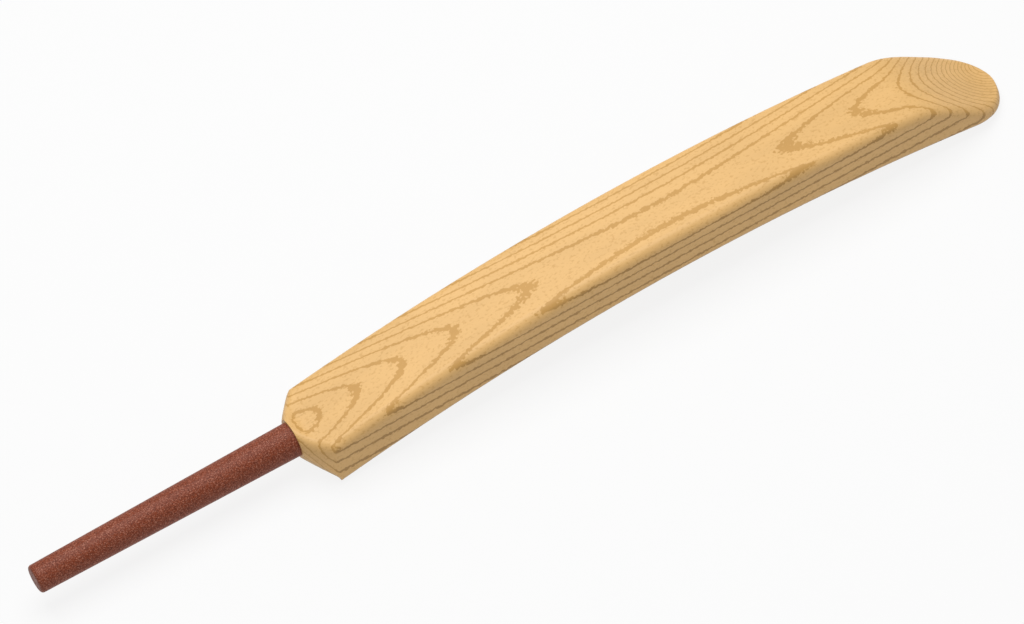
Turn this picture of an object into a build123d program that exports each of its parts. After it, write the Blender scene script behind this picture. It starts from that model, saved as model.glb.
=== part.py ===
from build123d import *
import math
import os

# Cricket bat, lying face up on the two ends of its arched blade.
# +X runs along the bat towards the toe, +Z is up out of the striking face, Y is across the blade.
# The origin is under the middle of the bat, on the plane it rests on. All sizes are in millimetres.

# ---- driving dimensions ----
total_length = 965.0
handle_length = 252.5          # butt to the end of the grip sleeve
shoulder_length = 21.0         # neck to the full section of the blade

blade_width = 82.8
blade_thickness = 47.8
face_radius = 1890.0           # arch of the face along the bat
face_edge_radius = 8.7
back_edge_radius = 6.6

shoulder_spans = 12            # how many stretches each part of the blade is lofted through
main_spans = 12
toe_spans = 10
tip_spans = 9

toe_length = 102.0             # length of the stretch where the face slopes down to the tip
toe_fall = 40.0                # how far it comes down there, below the arch
tip_flat = 0.5                 # the half circle of the toe is cut off this far from its end
edge_fill = 0.95               # share of a thin edge's height that its two roundings may take

axis_height = 34.2             # height of the handle's axis
neck_radius = 18.5
neck_roundness = 0.98          # corner radius of the neck's section, as a share of its half width
shoulder_dip = 1.5             # shallow hollow between the face and the top of the neck
side_bend = 1.4                # above 1 the shoulder's sides stay wide at first
back_bend = 0.55               # below 1 its underside rises quickly at first
corner_bend = 0.8              # and its corners round off early

grip_root_radius = 15.8
grip_end_radius = 13.0
grip_wall = 2.0
grip_end_wall = 3.0
grip_end_rounding = 3.0
binding_thickness = 0.8

splice_length = 118.0          # how far the V of the cane reaches into the blade
splice_thickness = 19.0
splice_tip_width = 3.0
splice_neck = 3.0              # length of round cane inside the neck, before the V starts
spring_thickness = 1.6
strip_width = 6.5

# ---- places worked out from them ----
toe_tip_x = total_length / 2
butt_x = -total_length / 2
root_x = butt_x + handle_length
shoulder_x = root_x + shoulder_length
half_width = blade_width / 2
back_radius = face_radius - blade_thickness

# the back's arch touches the ground plane at the toe's tip and where the shoulder begins
arch_x = (toe_tip_x + shoulder_x) / 2
half_span = (toe_tip_x - shoulder_x) / 2
arch_centre_z = -math.sqrt(back_radius**2 - half_span**2)

toe_reach = half_width - tip_flat
toe_round_x = toe_tip_x - toe_reach
toe_start_x = toe_tip_x - toe_length

core_root_radius = grip_root_radius - grip_wall - binding_thickness
core_end_radius = grip_end_radius - grip_wall - binding_thickness
core_end_x = butt_x + grip_end_wall
splice_start_x = root_x + splice_neck
splice_tip_x = root_x + splice_length
half_slab = (splice_thickness - 2 * spring_thickness) / 6
spring_outer = half_slab + spring_thickness
cell_margin = core_root_radius + 1.0


def blend(start, end, share):
    """The value a given share of the way from start to end."""
    return start + (end - start) * share


def stations(start, end, count):
    """Evenly spaced places from start up to, but not including, end."""
    return [blend(start, end, i / count) for i in range(count)]


# ---- the blade's sections: width, top, bottom and the radii of the upper and lower edges ----
def face_z(x):
    """Height of the arched face at x."""
    return arch_centre_z + math.sqrt(face_radius**2 - (x - arch_x) ** 2)


def back_z(x):
    """Height of the arched back at x."""
    return arch_centre_z + math.sqrt(back_radius**2 - (x - arch_x) ** 2)


def toe_drop(x):
    """How far the face has sloped down below its arch at x, in a smooth S."""
    share = (x - toe_start_x) / toe_length
    return toe_fall * share**2 * (3 - 2 * share)


def main_section(x):
    """The blade's full section."""
    return blade_width, face_z(x), back_z(x), face_edge_radius, back_edge_radius


def toe_section(x):
    """The toe narrows to a half circle and thins to its tip, and its edges' rounding with it."""
    reach = max(0.0, x - toe_round_x)
    width = 2 * math.sqrt(half_width**2 - reach**2)
    top = face_z(x) - toe_drop(x)
    bottom = back_z(x)
    room = edge_fill * (top - bottom) / (face_edge_radius + back_edge_radius)
    scale = min(1.0, room)
    return width, top, bottom, scale * face_edge_radius, scale * back_edge_radius


def shoulder_section(x):
    """The shoulder runs from the full section down to the round neck."""
    share = (shoulder_x - x) / shoulder_length
    dip = shoulder_dip * math.sin(math.pi * share) ** 2
    width = blend(blade_width, 2 * neck_radius, share**side_bend)
    top = blend(face_z(x), axis_height + neck_radius, share) - dip
    bottom = blend(back_z(x), axis_height - neck_radius, share**back_bend)
    top_radius = blend(face_edge_radius, neck_roundness * neck_radius, share**corner_bend)
    bottom_radius = blend(back_edge_radius, neck_roundness * neck_radius, share**corner_bend)
    return width, top, bottom, top_radius, bottom_radius


def blade_run(places, section_at):
    """A smooth solid through the blade's sections at the given places."""
    with BuildPart() as run:
        for x in places:
            width, top, bottom, top_radius, bottom_radius = section_at(x)
            with BuildSketch(Plane.YZ.offset(x)) as section:
                with Locations((0, (top + bottom) / 2)):
                    Rectangle(width, top - bottom)
                fillet(section.vertices().group_by(Axis.Y)[-1], top_radius)
                fillet(section.vertices().group_by(Axis.Y)[0], bottom_radius)
        loft()
    return run.part


# ---- the handle's core: round cane in the handle, a flat V where it enters the blade ----
def turned(points):
    """A solid turned about the handle's axis, from (x, radius) points off that axis."""
    with BuildPart() as body:
        with BuildSketch(Plane.XZ):
            with BuildLine():
                Polyline([(x, axis_height + radius) for x, radius in points], close=True)
            make_face()
        revolve(axis=Axis((0, 0, axis_height), (1, 0, 0)))
    return body.part


def splice_wedge():
    """The V of the splice: flat above and below, tapering in plan to a blunt tip."""
    with BuildPart() as wedge:
        with BuildSketch(Plane.XY.offset(axis_height)):
            with BuildLine():
                Polyline(
                    (splice_start_x, core_root_radius),
                    (splice_tip_x, splice_tip_width / 2),
                    (splice_tip_x, -splice_tip_width / 2),
                    (splice_start_x, -core_root_radius),
                    close=True,
                )
            make_face()
        extrude(amount=splice_thickness / 2, both=True)
    return wedge.part


round_cane = turned(
    [(core_end_x, 0), (core_end_x, core_end_radius), (root_x, core_root_radius)]
    + [(splice_start_x, core_root_radius), (splice_start_x, 0)]
)
wedge_stock = turned(
    [(splice_start_x, 0), (splice_start_x, core_root_radius)]
    + [(splice_tip_x, core_root_radius), (splice_tip_x, 0)]
)
with BuildPart() as core:
    add(wedge_stock)
    add(splice_wedge(), mode=Mode.INTERSECT)
    add(round_cane)

os.makedirs("parts", exist_ok=True)

# ---- blade ----
shoulder_shares = [i / shoulder_spans for i in range(shoulder_spans, -1, -1)]
shoulder_places = [shoulder_x - shoulder_length * share**2 for share in shoulder_shares]
main_places = stations(shoulder_x, toe_start_x, main_spans) + [toe_start_x]
toe_places = stations(toe_start_x, toe_round_x, toe_spans)
tip_turns = [math.pi / 2 * i / tip_spans for i in range(tip_spans + 1)]
toe_places += [toe_round_x + toe_reach * math.sin(turn) for turn in tip_turns]
with BuildPart() as blade:
    add(blade_run(shoulder_places, shoulder_section))
    add(blade_run(main_places, main_section))
    add(blade_run(toe_places, toe_section))
    add(core.part, mode=Mode.SUBTRACT)
blade.part.label = "blade"
export_step(blade.part, "parts/blade.step")


# ---- cane strips and rubber springs: the core cut into layers, and the cane layers into four ----
def core_cell(y_low, y_high, z_low, z_high):
    """The piece of the core between two upright and two level planes, z counted from the axis."""
    with BuildPart() as cell:
        with BuildSketch(Plane.YZ.offset(core_end_x)):
            with Locations(((y_low + y_high) / 2, axis_height + (z_low + z_high) / 2)):
                Rectangle(y_high - y_low, z_high - z_low)
        extrude(amount=splice_tip_x - core_end_x)
        add(core.part, mode=Mode.INTERSECT)
    return cell.part


slabs = {
    "upper": (spring_outer, cell_margin),
    "middle": (-half_slab, half_slab),
    "lower": (-cell_margin, -spring_outer),
}
strip_edges = [-cell_margin, -strip_width, 0.0, strip_width, cell_margin]
for slab_name, (z_low, z_high) in slabs.items():
    for number in range(4):
        strip = core_cell(strip_edges[number], strip_edges[number + 1], z_low, z_high)
        strip.label = f"cane_{slab_name}_{number + 1}"
        export_step(strip, f"parts/{strip.label}.step")

springs = {"spring_upper": (half_slab, spring_outer), "spring_lower": (-spring_outer, -half_slab)}
for spring_name, (z_low, z_high) in springs.items():
    spring = core_cell(-cell_margin, cell_margin, z_low, z_high)
    spring.label = spring_name
    export_step(spring, f"parts/{spring_name}.step")

# ---- twine binding over the cane, and the rubber grip sleeve over the twine ----
binding = turned(
    [
        (core_end_x, core_end_radius),
        (core_end_x, core_end_radius + binding_thickness),
        (root_x, core_root_radius + binding_thickness),
        (root_x, core_root_radius),
    ]
)
binding.label = "twine_binding"
export_step(binding, "parts/twine_binding.step")

with BuildPart() as grip:
    with BuildSketch(Plane.XZ) as grip_profile:
        with BuildLine():
            Polyline(
                (butt_x, axis_height),
                (butt_x, axis_height + grip_end_radius),
                (root_x, axis_height + grip_root_radius),
                (root_x, axis_height + core_root_radius + binding_thickness),
                (core_end_x, axis_height + core_end_radius + binding_thickness),
                (core_end_x, axis_height),
                close=True,
            )
        make_face()
        outer_corner = grip_profile.vertices().group_by(Axis.X)[0].sort_by(Axis.Y)[-1]
        fillet(outer_corner, grip_end_rounding)
    revolve(axis=Axis((0, 0, axis_height), (1, 0, 0)))
grip.part.label = "grip_sleeve"
export_step(grip.part, "parts/grip_sleeve.step")
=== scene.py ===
import math

import bpy
from mathutils import Matrix, Vector

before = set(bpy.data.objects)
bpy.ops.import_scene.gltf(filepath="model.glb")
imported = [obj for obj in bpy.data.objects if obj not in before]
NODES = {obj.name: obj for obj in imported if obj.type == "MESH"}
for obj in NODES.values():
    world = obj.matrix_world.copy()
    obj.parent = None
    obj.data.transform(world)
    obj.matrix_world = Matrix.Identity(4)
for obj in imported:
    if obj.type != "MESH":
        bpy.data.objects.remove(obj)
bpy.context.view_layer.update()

bl_info = {
    "name": "Cricket Bat",
    "version": (1, 0, 0),
    "blender": (4, 5, 0),
    "location": "3D View > Sidebar > Cricket Bat",
    "description": "Dresses a cricket bat in willow, cane, twine and rubber, and sets its stage",
    "category": "Object",
}

FACE_TOP = 0.0806  # top of the blade's face above the floor, in metres
HALF_BLADE = 0.04  # half the blade's width, near enough for the flattening of the rings

# ---- numbers of the willow's shader; scales are in features per metre along X, Y and Z ----
CROWN_BLEND = 0.012  # the near squeeze turns into the far one over this distance each side of the crown
LEAST_LEVEL = 0.01  # keeps the logarithm away from zero below the deepest ring
COUNT_BASE = 40.5  # keeps ring numbers positive; the half puts the ring lines on whole numbers
RAGGED_SCALE = (290, 330, 330)
RAGGED_REACH = 0.38  # how far the ragged edge moves a line, in rings
LINE_CORE = 0.07  # half width of a ring line, in rings, and where it has faded out
LINE_FADE = 0.13
FLECK_SCALE = (330, 480, 480)
FLECK_RANGE = (0.54, 0.70)
FLECK_SHARE = 0.55
TONE_SCALE = (12, 60, 60)
TONE_RANGE = (0.96, 1.04)
EDGE_RANGE = (0.7, 0.96)  # sideways part of the normal where the edge's line colour starts and is full
PAINTED_UNDERSIDE_SHADE_RANGE = (-0.6, -0.1)  # upward part of the normal over which the painted shade on the downward-facing wood fades out
LINE_DEPTH = -0.4
FLECK_DEPTH = 0.6
WOOD_ROUGHNESS = (0.42, 0.50)  # between the lines, and on them
WOOD_BUMP = (0.25, 0.0002)  # strength, and distance in metres
WOOD_SPECULAR = 0.22

# ---- numbers of the handle's shaders ----
TURN_PITCH = 0.0008  # one turn of twine, in metres
SPECK_SCALE = 1100.0
SPECK_RANGE = (0.53, 0.62)
SPECK_SHARE = 0.9
GRIP_SPECULAR = 0.2
GRIP_SHEEN = 0.04
GRIP_SHEEN_ROUGHNESS = 0.4
NOISE_MIDDLE = (0.3, 0.7)  # most noise values lie between these

# ---- stage ----
KEY_PLACE = (0.12, 0.6, 2.7)
KEY_SIZE = 2.4
FILL_PLACE = (-0.8, -3.0, 1.6)
FILL_SIZE = 1.5
SENSOR_WIDTH = 36.0
CLIP = (0.1, 100.0)
CAMERA_PLACE = (-1.23344, -2.98878, 4.09271)
CAMERA_RIGHT = (0.85276, -0.50884, -0.11778)
CAMERA_UP = (0.46577, 0.63884, 0.61232)


# ---- settings ----
def colour(name, description, default):
    return bpy.props.FloatVectorProperty(
        name=name, description=description, subtype="COLOR", size=3, min=0, max=1, default=default
    )


def length(name, description, default):
    return bpy.props.FloatProperty(
        name=name, description=description, default=default, subtype="DISTANCE", unit="LENGTH"
    )


def number(name, description, default):
    return bpy.props.FloatProperty(name=name, description=description, default=default)


class BatWillowSettings(bpy.types.PropertyGroup):
    """Colours and growth rings of the willow blade"""

    early_wood: colour("Early wood", "Pale wood between the rings", (0.660, 0.405, 0.158))
    late_wood: colour("Late wood", "Darker wood of the ring lines", (0.50, 0.280, 0.084))
    edge_late_wood: colour("Edge late wood", "Ring lines on the blade's two edges", (0.38, 0.215, 0.070))
    # painted shade: how far the wood is darkened where it faces down
    painted_underside_shade: number("Underside", "Shade of the wood where it faces down", 0.5)
    crown_y: length("Crown across", "Where the rings are highest, across the top of the face", -0.0103)
    crown_drift: number("Crown drift", "How far the crown moves across for each unit of depth", 0.367)
    centre_z: length("Ring centre", "Height of the centre of the ring arches", -0.0658)
    near_squeeze: number("Near squeeze", "How much the rings are squeezed on the near side", 2.737)
    far_squeeze: number("Far squeeze", "How much the rings are squeezed on the far side", 4.328)
    flatten: length("Flatten", "How much the rings flatten out at the blade's sides", 0.00176)
    outer_spacing: length("Outer spacing", "Width of a growth ring near the face", 0.0065)
    crowding_height: length("Crowding height", "Below this height the rings get closer together", 0.0547)
    crowding_floor: length("Crowding floor", "Depth at which the rings would run together", 0.00306)
    ring_shift: number("Ring shift", "Moves all the ring lines together, in rings", -0.26)


class BatHandleSettings(bpy.types.PropertyGroup):
    """Colours of the grip, the twine, the cane and the springs"""

    grip: colour("Grip", "Dark red rubber of the grip", (0.195, 0.036, 0.010))
    grip_fleck: colour("Grip fleck", "Pale flecks in the rubber", (0.40, 0.155, 0.10))
    twine: colour("Twine", "Waxed linen twine", (0.55, 0.45, 0.30))
    grip_dark: colour("Grip dark", "Darker patches in the rubber", (0.120, 0.024, 0.010))
    # painted shade: colour of the grooves between the turns of twine
    twine_gap_painted_shade: colour("Twine dark", "Gaps between the turns", (0.25, 0.18, 0.10))
    cane: colour("Cane", "Split cane", (0.66, 0.47, 0.23))
    cane_dark: colour("Cane dark", "Darker fibres of the cane", (0.45, 0.29, 0.12))
    spring: colour("Spring", "Black rubber springs", (0.025, 0.025, 0.027))
    spring_light: colour("Spring light", "Paler grain of the springs", (0.05, 0.05, 0.05))


class BatStageSettings(bpy.types.PropertyGroup):
    """Floor, lights and camera"""

    floor: colour("Floor", "Plain pale floor", (0.09, 0.09, 0.09))
    floor_glow: number("Floor glow", "Light the floor gives off, which keeps shadows faint", 0.86)
    sky: number("Sky", "Strength of the even light from all round", 0.30)
    key: number("Key", "Power of the soft light overhead, in watts", 94.0)
    fill: number("Fill", "Power of the soft light from the near side, in watts", 6.0)
    floor_size: length("Floor size", "Side of the square floor", 40.0)
    lens: number("Lens", "Focal length in millimetres", 211.739)


# ---- shader building ----
class Shader:
    """A material's node tree, with a short way to add and join nodes."""

    def __init__(self, name):
        self.material = bpy.data.materials.new(name)
        self.material.use_nodes = True
        self.tree = self.material.node_tree
        self.tree.nodes.clear()
        self.output = self.tree.nodes.new("ShaderNodeOutputMaterial")
        self.surface = self.add("ShaderNodeBsdfPrincipled")
        self.join(self.surface.outputs["BSDF"], self.output.inputs["Surface"])

    def add(self, kind, **values):
        node = self.tree.nodes.new(kind)
        for key, value in values.items():
            setattr(node, key, value)
        return node

    def join(self, source, target):
        if isinstance(source, (int, float)):
            target.default_value = source
        elif isinstance(source, (tuple, list, Vector)):
            target.default_value = tuple(source)
        else:
            self.tree.links.new(source, target)

    def math(self, operation, a, b=0.0):
        node = self.add("ShaderNodeMath", operation=operation)
        self.join(a, node.inputs[0])
        self.join(b, node.inputs[1])
        return node.outputs[0]

    def place(self):
        return self.add("ShaderNodeTexCoord").outputs["Object"]

    def split(self, vector):
        node = self.add("ShaderNodeSeparateXYZ")
        self.join(vector, node.inputs[0])
        return node.outputs

    def unite(self, x, y, z):
        node = self.add("ShaderNodeCombineXYZ")
        for value, socket in zip((x, y, z), node.inputs):
            self.join(value, socket)
        return node.outputs[0]

    def stretched(self, vector, x, y, z):
        node = self.add("ShaderNodeVectorMath", operation="MULTIPLY")
        self.join(vector, node.inputs[0])
        self.join((x, y, z), node.inputs[1])
        return node.outputs["Vector"]

    def noise(self, vector, scale, detail=2.0, roughness=0.5):
        node = self.add("ShaderNodeTexNoise")
        self.join(vector, node.inputs["Vector"])
        node.inputs["Scale"].default_value = scale
        node.inputs["Detail"].default_value = detail
        node.inputs["Roughness"].default_value = roughness
        return node.outputs["Fac"]

    def remap(self, value, low, high, to_low=0.0, to_high=1.0, smooth=False):
        node = self.add("ShaderNodeMapRange")
        node.interpolation_type = "SMOOTHSTEP" if smooth else "LINEAR"
        node.clamp = True
        for source, socket in zip((value, low, high, to_low, to_high), node.inputs):
            self.join(source, socket)
        return node.outputs[0]

    def mix(self, factor, a, b, blend="MIX"):
        node = self.add("ShaderNodeMix", data_type="RGBA", blend_type=blend)
        sockets = [s for s in node.inputs if s.enabled]
        self.join(factor, sockets[0])
        for value, socket in zip((a, b), sockets[1:3]):
            if isinstance(value, tuple):
                value = (*value, 1.0)
            self.join(value, socket)
        return [s for s in node.outputs if s.enabled][0]

    def bump(self, height, strength, distance):
        node = self.add("ShaderNodeBump")
        node.inputs["Strength"].default_value = strength
        node.inputs["Distance"].default_value = distance
        self.join(height, node.inputs["Height"])
        return node.outputs[0]

    def set(self, **values):
        """Values by socket name, with underscores for spaces."""
        for key, value in values.items():
            self.join(value, self.surface.inputs[key.replace("_", " ")])

    def wear(self, piece):
        """Puts the material in every slot of the piece."""
        if not piece.data.materials:
            piece.data.materials.append(self.material)
        for index in range(len(piece.data.materials)):
            piece.data.materials[index] = self.material


def rgb(setting):
    return tuple(setting)


def node_object(name):
    if name not in NODES:
        raise RuntimeError(f"the frame has no node named {name}")
    return NODES[name]


# ---- willow ----
def willow_material(settings):
    """Willow with long cathedral rings, ragged where the surface only grazes them."""
    wood = Shader("willow")
    here = wood.place()
    x, y, z = wood.split(here)
    # each ring is an arch across the blade, and its highest point moves sideways with depth
    depth = wood.math("SUBTRACT", FACE_TOP, z)
    crown = wood.math("ADD", wood.math("MULTIPLY", depth, settings.crown_drift), settings.crown_y)
    off = wood.math("SUBTRACT", y, crown)
    off_squared = wood.math("MULTIPLY", off, off)
    near, far = settings.near_squeeze, settings.far_squeeze
    side = wood.remap(off, -CROWN_BLEND, CROWN_BLEND, near, far, smooth=True)
    above = wood.math("SUBTRACT", z, settings.centre_z)
    above_squared = wood.math("MULTIPLY", above, above)
    level = wood.math("ADD", wood.math("MULTIPLY", off_squared, side), above_squared)
    level = wood.math("ADD", wood.math("SQRT", level), settings.centre_z)
    off_fourth = wood.math("MULTIPLY", off_squared, off_squared)
    flattening = wood.math("MULTIPLY", off_fourth, settings.flatten / HALF_BLADE**4)
    level = wood.math("SUBTRACT", level, flattening)
    # rings are evenly spaced near the face and crowd together below it
    reach = settings.crowding_height + settings.crowding_floor
    low = wood.math("ADD", wood.math("MINIMUM", level, settings.crowding_height), settings.crowding_floor)
    low = wood.math("MAXIMUM", wood.math("DIVIDE", low, reach), LEAST_LEVEL)
    low = wood.math("LOGARITHM", low, math.e)
    low = wood.math("MULTIPLY", low, reach / settings.outer_spacing)
    high = wood.math("MAXIMUM", wood.math("SUBTRACT", level, settings.crowding_height), 0.0)
    high = wood.math("DIVIDE", high, settings.outer_spacing)
    ragged = wood.noise(wood.stretched(here, *RAGGED_SCALE), 1.0, detail=1.2, roughness=0.5)
    ragged = wood.math("MULTIPLY", wood.math("SUBTRACT", ragged, 0.5), RAGGED_REACH)
    count = wood.math("ADD", wood.math("ADD", low, high), wood.math("ADD", ragged, settings.ring_shift))
    share = wood.math("FRACT", wood.math("ADD", count, COUNT_BASE))
    from_line = wood.math("ABSOLUTE", wood.math("SUBTRACT", share, 0.5))
    ring = wood.remap(from_line, LINE_CORE, LINE_FADE, 1.0, 0.0, smooth=True)
    # pores: short dark flecks along the grain
    fleck = wood.noise(wood.stretched(here, *FLECK_SCALE), 1.0, detail=1.5)
    fleck = wood.remap(fleck, *FLECK_RANGE)
    tone = wood.noise(wood.stretched(here, *TONE_SCALE), 1.0, detail=3.0)
    # the blade's edges cut the rings more squarely, so their lines are darker there
    along, across, up = wood.split(wood.add("ShaderNodeNewGeometry").outputs["Normal"])
    on_edge = wood.remap(wood.math("ABSOLUTE", across), *EDGE_RANGE)
    line = wood.mix(on_edge, rgb(settings.late_wood), rgb(settings.edge_late_wood))
    colour_now = wood.mix(ring, rgb(settings.early_wood), line)
    darker = wood.mix(wood.math("MULTIPLY", fleck, FLECK_SHARE), colour_now, rgb(settings.late_wood))
    shade = wood.remap(tone, *NOISE_MIDDLE, *TONE_RANGE)
    # painted shade: the wood is darkened where its normal faces down
    shade = wood.math("MULTIPLY", shade, wood.remap(up, *PAINTED_UNDERSIDE_SHADE_RANGE, settings.painted_underside_shade, 1.0))
    final = wood.mix(1.0, darker, wood.unite(shade, shade, shade), blend="MULTIPLY")
    line_height = wood.math("MULTIPLY", ring, LINE_DEPTH)
    height = wood.math("SUBTRACT", line_height, wood.math("MULTIPLY", fleck, FLECK_DEPTH))
    wood.set(
        Base_Color=final,
        Roughness=wood.remap(ring, 0.0, 1.0, *WOOD_ROUGHNESS),
        Normal=wood.bump(height, *WOOD_BUMP),
    )
    wood.surface.inputs["Specular IOR Level"].default_value = WOOD_SPECULAR
    return wood


# ---- operators, one for each piece or group of like pieces ----
class BAT_OT_blade(bpy.types.Operator):
    """Dress the willow blade"""

    bl_idname = "bat.blade"
    bl_label = "Blade"

    def execute(self, context):
        blade = node_object("blade")
        willow_material(context.scene.bat_willow).wear(blade)
        return {"FINISHED"}


class BAT_OT_cane(bpy.types.Operator):
    """Dress the twelve cane strips of the handle"""

    bl_idname = "bat.cane"
    bl_label = "Cane strips"

    def execute(self, context):
        settings = context.scene.bat_handle
        cane = Shader("cane")
        here = cane.place()
        fibre = cane.noise(cane.stretched(here, 20, 900, 900), 1.0, detail=3.0)
        node_tone = cane.noise(cane.stretched(here, 30, 5, 5), 1.0, detail=1.0)
        pale = cane.mix(cane.remap(fibre, 0.35, 0.65), rgb(settings.cane), rgb(settings.cane_dark))
        tone = cane.remap(node_tone, *NOISE_MIDDLE, 0.9, 1.05)
        cane.set(
            Base_Color=cane.mix(1.0, pale, cane.unite(tone, tone, tone), blend="MULTIPLY"),
            Roughness=cane.remap(fibre, *NOISE_MIDDLE, 0.5, 0.7),
            Normal=cane.bump(fibre, 0.3, 0.0002),
        )
        strips = [node for name, node in NODES.items() if name.startswith("cane_")]
        if not strips:
            raise RuntimeError("the frame has no cane strips")
        for strip in strips:
            cane.wear(strip)
        return {"FINISHED"}


class BAT_OT_springs(bpy.types.Operator):
    """Dress the two rubber springs between the cane slabs"""

    bl_idname = "bat.springs"
    bl_label = "Rubber springs"

    def execute(self, context):
        settings = context.scene.bat_handle
        rubber = Shader("spring rubber")
        here = rubber.place()
        grain = rubber.noise(here, 900.0, detail=2.0)
        paler = rubber.remap(grain, 0.4, 0.7)
        rubber.set(
            Base_Color=rubber.mix(paler, rgb(settings.spring), rgb(settings.spring_light)),
            Roughness=rubber.remap(grain, *NOISE_MIDDLE, 0.6, 0.8),
            Normal=rubber.bump(grain, 0.2, 0.0001),
        )
        for name in ("spring_upper", "spring_lower"):
            rubber.wear(node_object(name))
        return {"FINISHED"}


class BAT_OT_binding(bpy.types.Operator):
    """Dress the twine binding over the cane"""

    bl_idname = "bat.binding"
    bl_label = "Twine binding"

    def execute(self, context):
        settings = context.scene.bat_handle
        twine = Shader("twine")
        here = twine.place()
        x, y, z = twine.split(here)
        turns = twine.math("FRACT", twine.math("DIVIDE", x, TURN_PITCH))
        round_turn = twine.math("SINE", twine.math("MULTIPLY", turns, math.pi))
        fibre = twine.noise(twine.stretched(here, 1500, 300, 300), 1.0, detail=2.0)
        # painted shade: each turn is paler along its middle and darker in the gaps between turns, as
        # light falls on a round thread
        pale = twine.math("MULTIPLY", round_turn, fibre)
        twine.set(
            Base_Color=twine.mix(pale, rgb(settings.twine_gap_painted_shade), rgb(settings.twine)),
            Roughness=twine.remap(fibre, *NOISE_MIDDLE, 0.7, 0.85),
            Normal=twine.bump(round_turn, 0.6, 0.0003),
        )
        twine.wear(node_object("twine_binding"))
        return {"FINISHED"}


class BAT_OT_grip(bpy.types.Operator):
    """Dress the rubber grip"""

    bl_idname = "bat.grip"
    bl_label = "Grip"

    def execute(self, context):
        settings = context.scene.bat_handle
        rubber = Shader("grip rubber")
        here = rubber.place()
        specks = rubber.noise(here, SPECK_SCALE, detail=2.0, roughness=0.7)
        grain = rubber.noise(here, 600.0, detail=2.0)
        speck = rubber.remap(specks, *SPECK_RANGE)
        base = rubber.mix(rubber.remap(grain, 0.35, 0.65), rgb(settings.grip), rgb(settings.grip_dark))
        speck = rubber.math("MULTIPLY", speck, SPECK_SHARE)
        rubber.set(
            Base_Color=rubber.mix(speck, base, rgb(settings.grip_fleck)),
            Roughness=rubber.remap(grain, *NOISE_MIDDLE, 0.48, 0.62),
            Normal=rubber.bump(specks, 0.35, 0.0002),
        )
        rubber.surface.inputs["Specular IOR Level"].default_value = GRIP_SPECULAR
        rubber.surface.inputs["Sheen Weight"].default_value = GRIP_SHEEN
        rubber.surface.inputs["Sheen Roughness"].default_value = GRIP_SHEEN_ROUGHNESS
        rubber.wear(node_object("grip_sleeve"))
        return {"FINISHED"}


class BAT_OT_stage(bpy.types.Operator):
    """Set the floor, the lights, the world and the camera"""

    bl_idname = "bat.stage"
    bl_label = "Stage"

    def execute(self, context):
        settings = context.scene.bat_stage
        scene = context.scene
        half = settings.floor_size / 2
        mesh = bpy.data.meshes.new("floor")
        mesh.from_pydata(
            [(-half, -half, 0), (half, -half, 0), (half, half, 0), (-half, half, 0)], [], [(0, 1, 2, 3)]
        )
        floor = bpy.data.objects.new("floor", mesh)
        scene.collection.objects.link(floor)
        paper = Shader("floor")
        tone = paper.noise(paper.place(), 30.0)
        shade = paper.remap(tone, *NOISE_MIDDLE, 0.985, 1.0)
        shade = paper.unite(shade, shade, shade)
        paper.set(
            Base_Color=paper.mix(1.0, rgb(settings.floor), shade, blend="MULTIPLY"),
            Roughness=0.9,
            Emission_Color=(1.0, 1.0, 1.0, 1.0),
            Emission_Strength=settings.floor_glow,
        )
        paper.surface.inputs["Specular IOR Level"].default_value = 0.0
        paper.wear(floor)

        world = bpy.data.worlds.new("studio")
        scene.world = world
        world.use_nodes = True
        background = world.node_tree.nodes["Background"]
        background.inputs["Color"].default_value = (1.0, 1.0, 1.0, 1.0)
        background.inputs["Strength"].default_value = settings.sky

        self.lamp(scene, "key light", KEY_PLACE, KEY_SIZE, settings.key)
        self.lamp(scene, "fill light", FILL_PLACE, FILL_SIZE, settings.fill)

        camera = bpy.data.cameras.new("camera")
        camera.sensor_width = SENSOR_WIDTH
        camera.lens = settings.lens
        camera.clip_start, camera.clip_end = CLIP
        holder = bpy.data.objects.new("camera", camera)
        scene.collection.objects.link(holder)
        right = Vector(CAMERA_RIGHT).normalized()
        back = right.cross(Vector(CAMERA_UP)).normalized()
        up = back.cross(right)
        turn = Matrix((right, up, back)).transposed().to_4x4()
        holder.matrix_world = Matrix.Translation(CAMERA_PLACE) @ turn
        scene.camera = holder
        scene.view_settings.view_transform = "Standard"
        scene.view_settings.look = "None"
        return {"FINISHED"}

    @staticmethod
    def lamp(scene, name, place, size, power):
        """A square soft light aimed at the middle of the bat."""
        data = bpy.data.lights.new(name, "AREA")
        data.size = size
        data.energy = power
        lamp = bpy.data.objects.new(name, data)
        lamp.location = place
        lamp.rotation_mode = "QUATERNION"
        lamp.rotation_quaternion = (-Vector(place)).to_track_quat("-Z", "Y")
        scene.collection.objects.link(lamp)


class BAT_PT_panel(bpy.types.Panel):
    """Lists the bat's pieces"""

    bl_idname = "BAT_PT_panel"
    bl_label = "Cricket Bat"
    bl_space_type = "VIEW_3D"
    bl_region_type = "UI"
    bl_category = "Cricket Bat"

    def draw(self, context):
        for operator in OPERATORS:
            self.layout.operator(operator.bl_idname)


OPERATORS = (BAT_OT_blade, BAT_OT_cane, BAT_OT_springs, BAT_OT_binding, BAT_OT_grip, BAT_OT_stage)
SETTINGS = {
    "bat_willow": BatWillowSettings,
    "bat_handle": BatHandleSettings,
    "bat_stage": BatStageSettings,
}


def register():
    for cls in (*SETTINGS.values(), *OPERATORS, BAT_PT_panel):
        bpy.utils.register_class(cls)
    for name, cls in SETTINGS.items():
        setattr(bpy.types.Scene, name, bpy.props.PointerProperty(type=cls))


def unregister():
    for name in SETTINGS:
        delattr(bpy.types.Scene, name)
    for cls in reversed((*SETTINGS.values(), *OPERATORS, BAT_PT_panel)):
        bpy.utils.unregister_class(cls)


def main():
    register()
    for name in ("blade", "cane", "springs", "binding", "grip", "stage"):
        getattr(bpy.ops.bat, name)()


if __name__ == "__main__":
    main()
